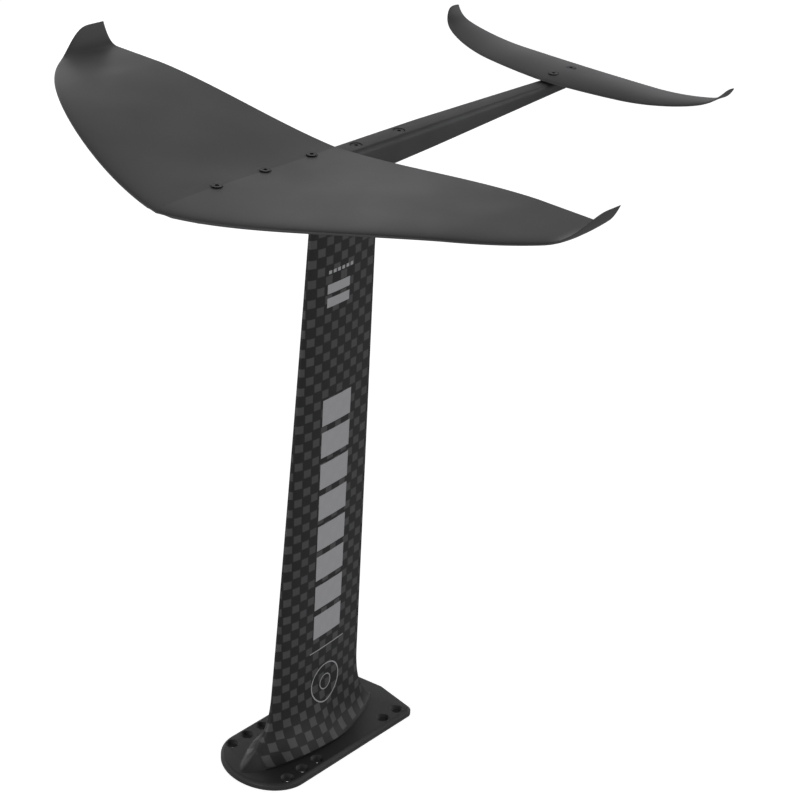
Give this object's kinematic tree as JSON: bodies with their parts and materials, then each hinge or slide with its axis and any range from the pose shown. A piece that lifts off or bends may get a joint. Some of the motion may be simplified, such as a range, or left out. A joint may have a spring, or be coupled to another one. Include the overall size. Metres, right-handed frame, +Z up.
{
  "type": "hydrofoil mast and wing set",
  "caption": "Bolted hydrofoil: flanged mounting plate, tapered carbon mast, fuselage bar, swept front wing with curled tips and a small tail wing.",
  "frame": {"origin": "centre of the board bolt pattern on the base plate's mounting face", "axes": "+Z up the mast from the board face to the wings, -Y towards the nose (direction of travel), +Y to the tail, +X to one side; X = 0 is the plane of symmetry"},
  "size_m": [0.712, 0.685, 0.7927],
  "materials": {
    "plate_black": "satin black, fine grain",
    "mast_carbon": "checkerboard spread-tow carbon under satin clear resin",
    "core_foam": "closed-cell structural foam",
    "carbon_ud": "unidirectional carbon",
    "alloy_plain": "machined aluminium",
    "steel_insert": "stainless steel",
    "screw_black": "black coated steel",
    "fuselage_grey": "hard anodised dark grey, satin",
    "wing_grey": "matte dark grey painted carbon"
  },
  "bodies": {
    "root": {"base_plate": "plate_black", "mast_left_skin": "mast_carbon", "mast_right_skin": "mast_carbon", "mast_nose_core": "core_foam", "mast_spar": "carbon_ud", "mast_tail_core": "core_foam", "mast_foot": "alloy_plain", "mast_foot_inserts": "steel_insert", "mast_screws": "screw_black", "fuselage": "fuselage_grey", "fuselage_wing_inserts": "steel_insert", "fuselage_tail_inserts": "steel_insert", "front_wing_upper_skin": "wing_grey", "front_wing_lower_skin": "wing_grey", "front_wing_root_block": "carbon_ud", "front_wing_left_core": "core_foam", "front_wing_right_core": "core_foam", "wing_screws": "screw_black", "tail_wing_upper_skin": "wing_grey", "tail_wing_lower_skin": "wing_grey", "tail_wing_root_block": "carbon_ud", "tail_wing_left_core": "core_foam", "tail_wing_right_core": "core_foam", "tail_screws": "screw_black"}
  },
  "joints": []
}
